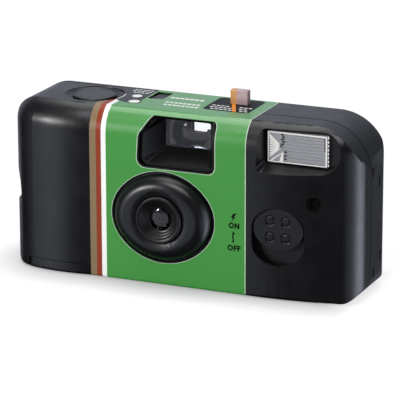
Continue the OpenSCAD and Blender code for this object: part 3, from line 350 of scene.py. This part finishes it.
def word(name, text, x, z, wide, height=1.85):
    """Plain lettering on the flat front, as a mesh."""
    cu = bpy.data.curves.new(name, "FONT")
    cu.body = text
    cu.extrude = 0.01
    cu.offset = 0.05
    cu.space_character = 1.15
    cu.resolution_u = 3
    tmp = linked(bpy.data.objects.new(name + "_t", cu))
    me = evaluated_mesh(tmp)
    bpy.data.objects.remove(tmp)
    us = [v.co.x for v in me.vertices]
    vs = [v.co.y for v in me.vertices]
    k = height / (max(vs) - min(vs))
    mu, mv = (max(us) + min(us)) / 2, (max(vs) + min(vs)) / 2
    for v in me.vertices:
        y = SIGN_Y[0] if v.co.z > 0 else SIGN_Y[1]
        v.co = Vector((x + (v.co.x - mu) * k * wide, y, z + (v.co.y - mv) * k)) * MM
    finish_piece(name, me, "camera_body", "label_film", deep_ink_and_shade)


# Covers and moving outer parts: node, slot, material, bevel, smoothing angle, facets joined
dress("rear_cover", "charcoal_plastic", charcoal, 0.22)
dress("bottom_lid", "charcoal_plastic", charcoal, 0.2)
dress("lens_surround", "charcoal_plastic", charcoal, 0.15, 28)
dress("lens_retainer", "black_plastic", black, 0.12)
dress("aperture_plate", "black_plastic", deep_ink_and_shade)
dress("taking_lens", "clear_plastic", lens_glass, flat=0.02)
dress("finder_front_lens", "clear_plastic", finder_glass, flat=0.02)
dress("eyepiece_lens", "clear_plastic", finder_glass, flat=0.02)
dress("viewfinder_hood", "black_plastic", hood_black, 0.05, 25)
dress("switch_knob", "charcoal_plastic", charcoal, 0.12)
dress("shutter_button", "charcoal_plastic", charcoal, 0.12)
dress("thumbwheel", "black_plastic", black, 0.06)
dress("counter_dial", "white_plastic", white, 0.03)

# Nodes that keep their own mesh
for node, mat in {
    "main_frame": matt, "shutter_blade": dark_steel, "blade_spring": steel, "kick_lever": steel,
    "kick_spring": steel, "lock_lever": white, "sprocket_shaft": white, "counter_window": dial_glass,
    "cartridge_shell": tin, "cartridge_caps": cap, "cartridge_spool": black, "film_strip": base_film,
    "film_roll": base_film, "supply_spool": black, "flash_window": flash_clear, "flash_reflector": mirror,
    "flash_tube": glass, "flash_board": mask, "capacitor": sleeve, "transformer": copper,
    "pilot_lamp": amber, "battery": jacket, "battery_contacts": brass, "sync_contact": brass,
    "slider_plate": black, "switch_contact": brass,
}.items():
    paint(node, mat)


# Front cover, with its small hole and its notch where the photograph shows them

def lathe(profile, centre, n=40):
    """Closed turned form: radius and y of its profile, about an axis along y."""
    bm = bmesh.new()
    turns = [2 * math.pi * k / n for k in range(n)]
    rows = [[bm.verts.new((centre + Vector((r * math.cos(a), y, r * math.sin(a)))) * MM) for a in turns]
            for r, y in profile]
    for lo, hi in zip(rows, rows[1:]):
        for k in range(n):
            bm.faces.new((lo[k], lo[(k + 1) % n], hi[(k + 1) % n], hi[k]))
    bm.faces.new(rows[0])
    bm.faces.new(rows[-1])
    return closed_mesh(bm, "cutter")


def prism(outline, centre, turn, half):
    """Upright outline (x, z) swept along y, turned about a centre."""
    bm = bmesh.new()
    spin = Matrix.Rotation(math.radians(turn), 4, "Z")
    rows = [[bm.verts.new((Vector(centre) + spin @ Vector((x, y, z))) * MM) for x, z in outline]
            for y in (-half, half)]
    for row in rows:
        bm.faces.new(row)
    for k in range(len(outline)):
        j = (k + 1) % len(outline)
        bm.faces.new((rows[0][k], rows[0][j], rows[1][j], rows[1][k]))
    return closed_mesh(bm, "cutter")


def off_outline(x, z):
    """Distance outside the covers' outline, seen from the front."""
    r = (10 if x < 0 else 15.5) if z > HALF_H else (6 if x < 0 else 7)
    dx, dz = abs(x) - HALF_W + r, abs(z - HALF_H) - HALF_H + r
    return math.hypot(max(dx, 0), max(dz, 0)) + min(max(dx, dz), 0) - r


def make_seam_shade(bm):
    """Painted shade: near-black strip in the gap where the covers meet, along the front cover's rim, for the
    shade in the parting line.
    """
    section = ((0.02, -0.1), (0.02, 0.25), (-0.1, 0.25), (-0.1, -0.1))  # height, and place along y
    step = 0.01

    def on_rim(v, y):
        return abs(v.co.y / MM - y) < 0.03 and off_outline(v.co.x / MM, v.co.z / MM) > -0.2

    new = bmesh.new()
    rows = {}
    for e in bm.edges:
        if not any(all(on_rim(v, y) for v in e.verts) for y in RIMS):
            continue
        for v in e.verts:
            if v not in rows:
                x, z = v.co.x / MM, v.co.z / MM
                n = Vector((off_outline(x + step, z) - off_outline(x - step, z), 0,
                            off_outline(x, z + step) - off_outline(x, z - step))).normalized()
                rows[v] = [new.verts.new(v.co + (n * h + Vector((0, w, 0))) * MM) for h, w in section]
        a, b = (rows[v] for v in e.verts)
        for k in range(4):
            new.faces.new((a[k], a[(k + 1) % 4], b[(k + 1) % 4], b[k]))
    finish_piece("painted_seam_shade", closed_mesh(new, "painted_seam_shade"), "camera_body", "black_plastic", deep_ink_and_shade)


def make_front():
    bm = welded("front_cover", 0.02)
    # Painted shade: near-black strip along the covers' parting line
    make_seam_shade(bm)
    near = {v for v in bm.verts if v.co.y < -8 * MM
            and math.hypot(v.co.x - OLD_HOLE[0] * MM, v.co.z - OLD_HOLE[1] * MM) < 2.75 * MM}
    bmesh.ops.delete(bm, geom=[f for f in bm.faces if all(v in near for v in f.verts)], context="FACES")
    bmesh.ops.holes_fill(bm, edges=[e for e in bm.edges if e.is_boundary])
    hit = BVHTree.FromBMesh(bm).ray_cast(Vector((HOLE[0], -60, HOLE[1])) * MM, Vector((0, 1, 0)))[0]
    hole_y = hit.y / MM
    uncut = linked(bpy.data.objects.new("uncut", to_mesh(bm, "uncut")))
    hole = lathe([(HOLE_R, -3), (HOLE_R, 0.2), (1.5, 0.7), (1.5, 1.1)], Vector((HOLE[0], hole_y, HOLE[1])))
    tools = [linked(bpy.data.objects.new("cutter", me)) for me in (hole, prism(NOTCH, NOTCH_AXIS, NOTCH_TURN, 9))]
    for tool in tools:
        uncut.modifiers.new("cut", "BOOLEAN").object = tool
    me = evaluated_mesh(uncut)
    for ob in [uncut] + tools:
        bpy.data.objects.remove(ob)
    me.materials.clear()
    # Painted shade: faces inside the small hole take the near-black material, darker than the cover, for the
    # shade in the hole
    for f in me.polygons:
        c = f.center / MM
        inside = math.hypot(c.x - HOLE[0], c.z - HOLE[1]) < HOLE_R - 0.02 and hole_y + 0.3 < c.y < -6
        f.material_index = 1 if inside else 0
    stand_in("front_cover", me, "charcoal_plastic", 0.22, 32, charcoal, deep_ink_and_shade)


# Light guide: a pale block with an orange left part

def make_guide():
    bm = welded("light_guide")
    for v in bm.verts:
        if v.co.z > GUIDE_TOP * MM:
            v.co.z += GUIDE_RISE * MM
    split(bm, (GUIDE_SPLIT, 0, 0), (1, 0, 0))
    for f in bm.faces:
        f.material_index = 1 if f.calc_center_median().x < GUIDE_SPLIT * MM else 0
    stand_in("light_guide", to_mesh(bm, "light_guide_form"), "amber_clear", 0.2, 32, amber, glow)


# Printed band: stripes cut into the sheet, with the pale cut edge round its openings

def outward(p):
    """Outward direction of the band at a point in millimetres."""
    if p.z < SHOULDER[1]:
        return Vector((0, -1 if p.y < 0 else 1, 0))
    if p.y < -8.2:
        return Vector((0, p.y - SHOULDER[0], p.z - SHOULDER[1])).normalized()
    return Vector((0, 0, 1))


def edge_strip(name, bm, inside, width):
    """Pale line along the cut edge of an opening, set into the band's surface."""
    over, under = 0.025 * MM, 0.05 * MM
    lines = []
    away, up = {}, {}
    for e in bm.edges:
        mid = (e.verts[0].co + e.verts[1].co) / 2 / MM
        if len(e.link_faces) != 2 or not inside(mid):
            continue
        out = outward(mid)
        face, wall = sorted(e.link_faces, key=lambda f: -f.normal.dot(out))
        if face.normal.dot(out) < 0.9 or abs(wall.normal.dot(out)) > 0.6:
            continue
        lines.append(e.verts[:])
        for v in e.verts:
            away[v] = away.get(v, Vector()) - wall.normal
            up[v] = up.get(v, Vector()) + out
    new = bmesh.new()
    rows = {}
    for v, d in away.items():
        n = up[v].normalized()
        d = (d - n * d.dot(n)).normalized() * width * MM
        rows[v] = [new.verts.new(v.co + q) for q in (n * over, d + n * over, d - n * under, -n * under)]
    for a, b in lines:
        for k in range(4):
            j = (k + 1) % 4
            new.faces.new((rows[a][k], rows[a][j], rows[b][j], rows[b][k]))
    finish_piece(name, closed_mesh(new, name), "camera_body", "label_film", rim_pale)


def make_label():
    bm = welded("label")
    for x in STRIPES + DARK[:1]:
        split(bm, (x, 0, 0), (1, 0, 0))
    split(bm, (0, DARK[1], 0), (0, 1, 0))
    split(bm, (0, 0, DARK[2]), (0, 0, 1))
    for f in bm.faces:
        x, y, z = f.calc_center_median() / MM
        f.material_index = sum(x >= stripe for stripe in STRIPES)
        if x < DARK[0] and y > DARK[1] and z > DARK[2]:
            f.material_index = 4
    bm.normal_update()
    edge_strip("label_edge_finder", bm, lambda p: -14 < p.x < 14 and p.z > 36.9 and p.y < -5, 0.2)
    edge_strip("label_edge_lens", bm, lambda p: -23.5 < p.x < 14.5 and 5 < p.z < 36.9 and p.y < -12, 0.13)
    edge_strip("label_edge_counter", bm, lambda p: -18 < p.x < -10 and p.y > 1 and p.z > 53, 0.2)
    edge_strip("label_edge_side", bm, lambda p: p.x > 22.6, 0.26)
    stand_in("label", to_mesh(bm, "label_form"), "label_film", 0, 32, gold, orange, paper, green, ink)


make_front()
make_guide()
make_label()

# Print on top: dark field beside the button with two plain ovals, and the dark panel round the light guide, with
# an orange painted reflection of the light guide on the panel
by_button = [(BUTTON[0] + BUTTON_EDGE * math.cos(a), BUTTON[1] + BUTTON_EDGE * math.sin(a))
             for a in (math.radians(52 - 9.2 * k) for k in range(1, 9))]
plate("print_field", [[(-17.3, 12.9), (-26.0, 12.9), (-27.2, 9.4)] + by_button + [
    (-24.3, -2.4), (-21.4, -3.8), (-18.6, -4.3), (-17.0, -3.9), (-16.4, -2.9), (-16.5, -1.6), (-17.3, 0.2)]],
    FIELD_Z, ink)
plate("print_oval_1", [ring(-18.7, -2.2, 1.75, 1.7)], SIGN_Z, paper)
plate("print_oval_2", [ring(-20.6, 4.2, 1.6, 1.6)], SIGN_Z, paper)
plate("print_panel", [rounded(3.8, 18.9, -2.3, 12.9, 1.6)], FIELD_Z, print_dark)
# Painted reflection: orange mark on the panel in front of the light guide, for the guide's reflection in the
# glossy panel
plate("painted_guide_reflection", [[(9.95, 6.7), (11.2, 6.7), (14.9, -1.9), (13.65, -1.9)]], SIGN_Z, mark)

# Rows of dashes: place of the first, number, width and height of each
ROWS = [
    (5.0, 2.9, 4, 1.1, 0.7), (5.0, 0.9, 5, 1.1, 0.7), (6.0, -1.1, 5, 1.1, 0.7),
    (14.0, 2.9, 3, 1.1, 0.7), (14.6, 0.9, 2, 1.1, 0.7), (15.5, -1.1, 2, 1.1, 0.7),
    (-24.6, 11.3, 5, 1.0, 0.5), (-24.6, 9.6, 5, 1.0, 0.5), (-23.6, 7.9, 4, 1.0, 0.5),
    (-10.2, 5.9, 7, 1.25, 1.3), (-9.6, 0.5, 8, 1.1, 1.1), (-9.0, -2.4, 8, 1.1, 1.1),
]
DASH_GAP = 0.38
dashes = []
for x0, y, count, wide, tall in ROWS:
    dashes += [bar(x, x + wide, y, y + tall) for x in (x0 + (wide + DASH_GAP) * k for k in range(count))]
plate("print_dashes", dashes, SIGN_Z, paper)

# Signs beside the switch
word("word_on", "ON", 19.0, 21.8, 0.9)
word("word_off", "OFF", 19.0, 14.75, 0.95)
plate("print_bolt", [[(18.1, 23.0), (19.45, 24.5), (18.95, 24.75), (20.1, 25.7), (18.75, 25.55), (18.0, 24.35),
                      (18.65, 24.2)]], SIGN_Y, deep_ink_and_shade, up="y")
plate("print_arrow", [[(18.55, 20.1), (19.45, 19.2), (18.95, 19.1), (18.8, 18.2), (19.0, 17.2), (18.85, 16.2),
                       (18.2, 16.9), (18.65, 17.1), (18.35, 18.2), (18.5, 19.0)]], SIGN_Y, deep_ink_and_shade, up="y")

# Flash window: pale edge, a fan of prisms at the left, a dotted strip at the right and small dark marks
edges = [bar(28.3, 28.75, 42.0, 51.4), bar(28.75, 47.2, 51.0, 51.4), bar(28.75, 47.2, 42.0, 42.35),
         bar(46.75, 47.2, 42.35, 51.0)]
dots = [bar(47.45, 47.8, z, z + 0.7) for z in (42.3 + 1.2 * k for k in range(8))]
fan = [ray((32.9, 47.0), (28.9, 43.6 + 0.82 * k), 0.5) for k in range(9)]
fan += [ray((33.2, 45.2), (29.4, 42.5), 0.45), [(32.0, 42.4), (33.2, 42.4), (33.3, 45.6), (32.7, 44.4)]]
plate("flash_edges", edges + dots + fan, FLASH_Y, white, "white_plastic", "y")
marks = [bar(32.5 + shift, 33.3 + shift, 47.4 + 0.75 * k, 47.9 + 0.75 * k)
         for k, shift in enumerate((0, 0.35, 0, 0.35, 0))]
marks += [bar(33.6, 34.3, z, z + 0.4) for z in (42.9, 44.0, 45.1)] + [bar(46.35, 46.6, 46.8, 50.8)]
plate("flash_marks", marks, FLASH_Y, ink, "black_plastic", "y")


# Stage, lights and camera

# Soft areas of the room, seen in reflections: direction, outer and inner angle from it, brightness
ROOM = [
    ((-0.5, 0.8, 0.33), 60, 25, 0.55),
    ((-0.58, -0.81, -0.28), 16, 2, 1.5),
    ((-0.82, -0.50, -0.28), 24, 3, 0.18),
    ((-0.62, -0.76, 0.15), 20, 4, 0.4),
    ((0.87, 0.153, -0.469), 34, 3, 5.0),
    ((0.83, -0.48, -0.28), 22, 3, 1.1),
    ((0.52, -0.81, -0.25), 16, 2, 0.8),
    ((0.34, 0.94, -0.28), 42, 10, 0.14),
    ((0.94, -0.2, 0.1), 24, 3, 2.2),
    ((-0.1, -0.6, 0.8), 22, 4, 0.9),
]


def maths(t, kind, a, b):
    """Maths node on a socket and a socket or number."""
    n = t.nodes.new("ShaderNodeMath")
    n.operation = kind
    t.links.new(a, n.inputs[0])
    if isinstance(b, float):
        n.inputs[1].default_value = b
    else:
        t.links.new(b, n.inputs[1])
    return n.outputs[0]


def blend(t, fac, first, second):
    n = t.nodes.new("ShaderNodeMixShader")
    for socket, link in zip(n.inputs, (fac, first, second)):
        t.links.new(link, socket)
    return n.outputs[0]


def make_floor():
    """White floor that keeps the real shadow in part of its shading, with a painted shadow near the part and the
    shadow painted out beyond the right end, and is left out of reflections.
    """
    bm = bmesh.new()
    s = 3.0
    bm.faces.new([bm.verts.new(v) for v in ((-s, -s, 0), (s, -s, 0), (s, s, 0), (-s, s, 0))])
    me = to_mesh(bm, "floor")
    m = bpy.data.materials.new("floor_white")
    m.use_nodes = True
    t = m.node_tree
    t.nodes.clear()
    out = t.nodes.new("ShaderNodeOutputMaterial")
    lit = t.nodes.new("ShaderNodeBsdfDiffuse")
    lit.inputs[0].default_value = (0.86, 0.86, 0.86, 1)
    glow_with_painted_shadow = t.nodes.new("ShaderNodeEmission")
    unseen = t.nodes.new("ShaderNodeBsdfTransparent")
    lp = t.nodes.new("ShaderNodeLightPath")

    # Painted shadow: its own brightness is less near the part, going by ambient occlusion, and painted light
    # makes it full beyond the right end, where it hides the shadow
    near = t.nodes.new("ShaderNodeAmbientOcclusion")
    near.inputs["Distance"].default_value = 0.018
    co = t.nodes.new("ShaderNodeTexCoord")
    xyz = t.nodes.new("ShaderNodeSeparateXYZ")
    t.links.new(co.outputs["Object"], xyz.inputs[0])
    level = maths(t, "MAXIMUM", spread(t, near.outputs["AO"], 0.5, 1.1, 0.42, 0.93),
                  spread(t, xyz.outputs["X"], 0.0, 1.3, 0.036, 0.06))
    t.links.new(level, glow_with_painted_shadow.inputs["Strength"])

    seen = maths(t, "MAXIMUM", lp.outputs["Is Camera Ray"], lp.outputs["Is Transmission Ray"])
    plain = blend(t, lp.outputs["Is Glossy Ray"], lit.outputs[0], unseen.outputs[0])
    t.links.new(blend(t, maths(t, "MULTIPLY", seen, 0.75), plain, glow_with_painted_shadow.outputs[0]), out.inputs[0])
    me.materials.append(m)
    ob = linked(bpy.data.objects.new("floor", me))
    ob.location.z = -0.0002


def make_world():
    w = bpy.data.worlds.new("studio")
    bpy.context.scene.world = w
    w.use_nodes = True
    t = w.node_tree
    t.nodes.clear()
    out = t.nodes.new("ShaderNodeOutputWorld")
    fill = t.nodes.new("ShaderNodeBackground")
    fill.inputs[0].default_value = (0.95, 0.97, 1, 1)
    fill.inputs[1].default_value = 0.3
    back = t.nodes.new("ShaderNodeBackground")
    back.inputs[0].default_value = (0.9, 0.95, 1.12, 1)
    lp = t.nodes.new("ShaderNodeLightPath")
    co = t.nodes.new("ShaderNodeTexCoord")

    # Reflections see a dim room with soft bright areas
    room = None
    for way, edge, core, level in ROOM:
        d = t.nodes.new("ShaderNodeVectorMath")
        d.operation = "DOT_PRODUCT"
        d.inputs[1].default_value = Vector(way).normalized()
        t.links.new(co.outputs["Generated"], d.inputs[0])
        lobe = spread(t, d.outputs["Value"], 0.0, level, math.cos(math.radians(edge)),
                      math.cos(math.radians(core)), "SMOOTHSTEP")
        room = lobe if room is None else maths(t, "ADD", room, lobe)

    # The camera sees white, also straight through clear parts; a ray through them after a bounce sees the room
    through = lp.outputs["Is Transmission Ray"]
    bounced = maths(t, "MAXIMUM", lp.outputs["Glossy Depth"], lp.outputs["Diffuse Depth"])
    seen = maths(t, "MAXIMUM", lp.outputs["Is Camera Ray"], maths(t, "GREATER_THAN", through, bounced))
    t.links.new(maths(t, "MAXIMUM", spread(t, seen, 0.0, 1.12, 0.0, 1.0), room), back.inputs[1])
    late = maths(t, "MINIMUM", lp.outputs["Glossy Depth"], through)
    glossy = maths(t, "MAXIMUM", lp.outputs["Is Glossy Ray"], late)
    t.links.new(blend(t, maths(t, "MAXIMUM", seen, glossy), fill.outputs[0], back.outputs[0]), out.inputs[0])


def lamp(name, place, size, power):
    """Soft lamp aimed at the middle of the part."""
    li = bpy.data.lights.new(name, "AREA")
    li.shape = "RECTANGLE"
    li.size, li.size_y = size
    li.energy = power
    ob = linked(bpy.data.objects.new(name, li))
    ob.location = place
    ob.rotation_mode = "QUATERNION"
    ob.rotation_quaternion = (Vector((0, 0, 0.027)) - Vector(place)).to_track_quat("-Z", "Y")


def make_camera():
    az, el, roll = (math.radians(a) for a in (23.4461, 16.4672, -0.1355))
    target, distance = Vector((2.2116, 0, 24.374)) * MM, 867.276 * MM
    d = Vector((math.sin(az) * math.cos(el), -math.cos(az) * math.cos(el), math.sin(el)))
    right = (-d).cross(Vector((0, 0, 1))).normalized()
    up = right.cross(-d)
    r = math.cos(roll) * right + math.sin(roll) * up
    u = -math.sin(roll) * right + math.cos(roll) * up
    cam = bpy.data.cameras.new("camera")
    cam.sensor_width = 36
    cam.lens = 254.54
    cam.clip_start, cam.clip_end = 0.01, 20
    ob = linked(bpy.data.objects.new("camera", cam))
    m = Matrix((r, u, d)).transposed().to_4x4()
    m.translation = target + d * distance
    ob.matrix_world = m
    bpy.context.scene.camera = ob


make_floor()
make_world()
lamp("key", (-0.43, -0.56, 0.18), (0.11, 0.11), 2.1)
lamp("front", (0.0, -0.55, 0.75), (0.5, 0.4), 2.55)
lamp("top", (-0.1, 0.12, 0.8), (0.7, 0.5), 3.7)
make_camera()
bpy.context.scene.view_settings.view_transform = "Standard"
